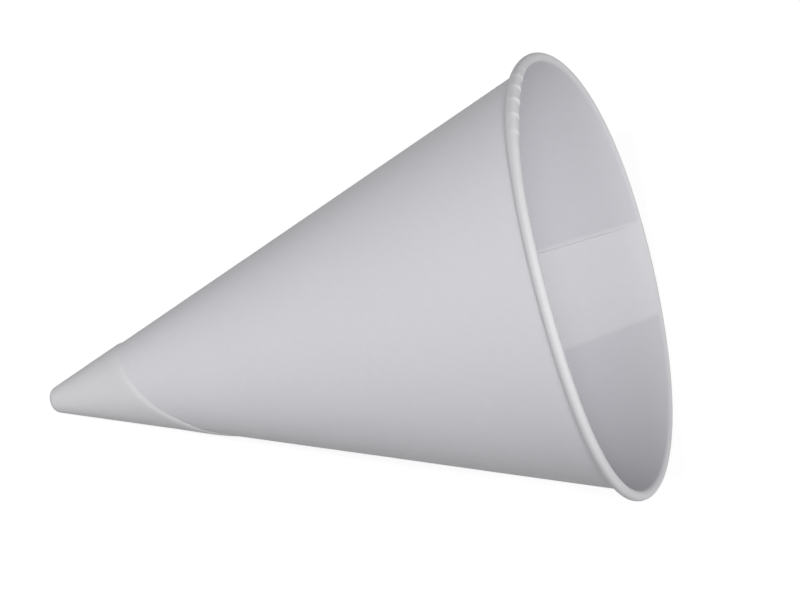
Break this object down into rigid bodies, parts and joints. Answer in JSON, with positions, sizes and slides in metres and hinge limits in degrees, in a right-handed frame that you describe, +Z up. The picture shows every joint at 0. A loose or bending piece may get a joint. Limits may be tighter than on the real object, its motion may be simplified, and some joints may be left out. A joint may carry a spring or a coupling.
{
  "type": "cone paper cup",
  "caption": "Rolled paper cone cup with a curled rim, a blunt tip and a glued lap, lying with its heaviest side down, beside the lap, and the mouth towards +X",
  "frame": {"origin": "on the table, under the middle of the lying cup: the centre of the bounding box's bottom face", "axes": "+X from the tip to the mouth, +Y across, +Z up; the cup lies on its heaviest side, beside the lap, so its own axis rises from the tip by 19.7 degrees in the XZ plane"},
  "size_m": [0.1004, 0.07, 0.066],
  "materials": {
    "white_paper": "plain uncoated white cup paper, faint fibre grain, soft matte sheen"
  },
  "bodies": {
    "root": {"cone_cup": "white_paper"}
  },
  "joints": []
}
